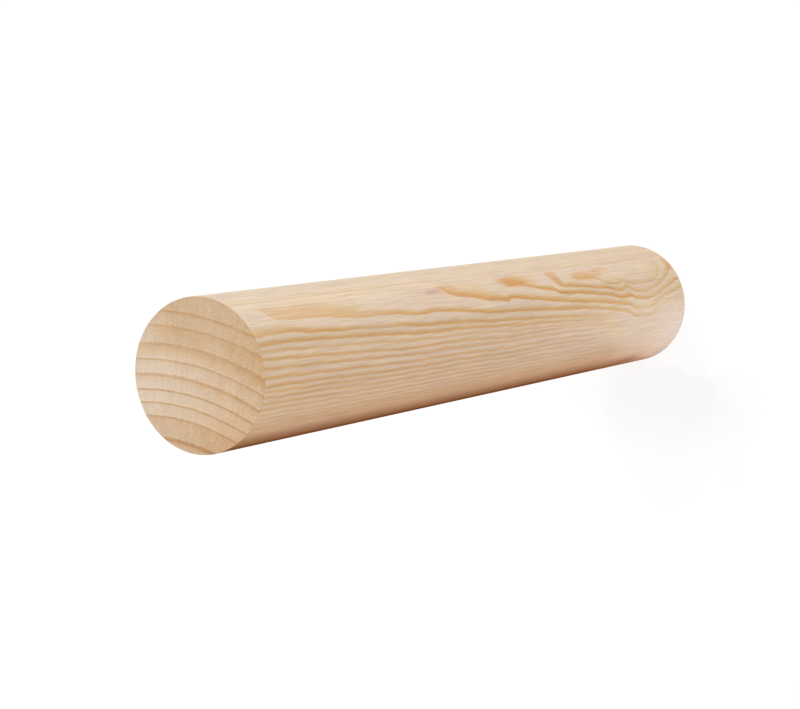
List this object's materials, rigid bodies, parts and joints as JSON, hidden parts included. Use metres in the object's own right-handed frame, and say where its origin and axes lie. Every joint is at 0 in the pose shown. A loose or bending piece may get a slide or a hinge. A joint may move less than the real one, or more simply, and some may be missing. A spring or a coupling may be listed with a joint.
{
  "type": "dowel pin",
  "caption": "Smooth round softwood dowel pin, cut square at both ends, glued into matching holes to join two pieces of wood.",
  "frame": {"origin": "centre of the foot, the end face that the pin stands on", "axes": "+Z along the pin's axis from the foot to the head; X and Y are across the pin"},
  "size_m": [0.025, 0.025, 0.16],
  "materials": {
    "softwood": "bare sanded softwood, matte, long grain on the side and growth rings on the sawn ends"
  },
  "bodies": {
    "root": {"dowel": "softwood"}
  },
  "joints": []
}
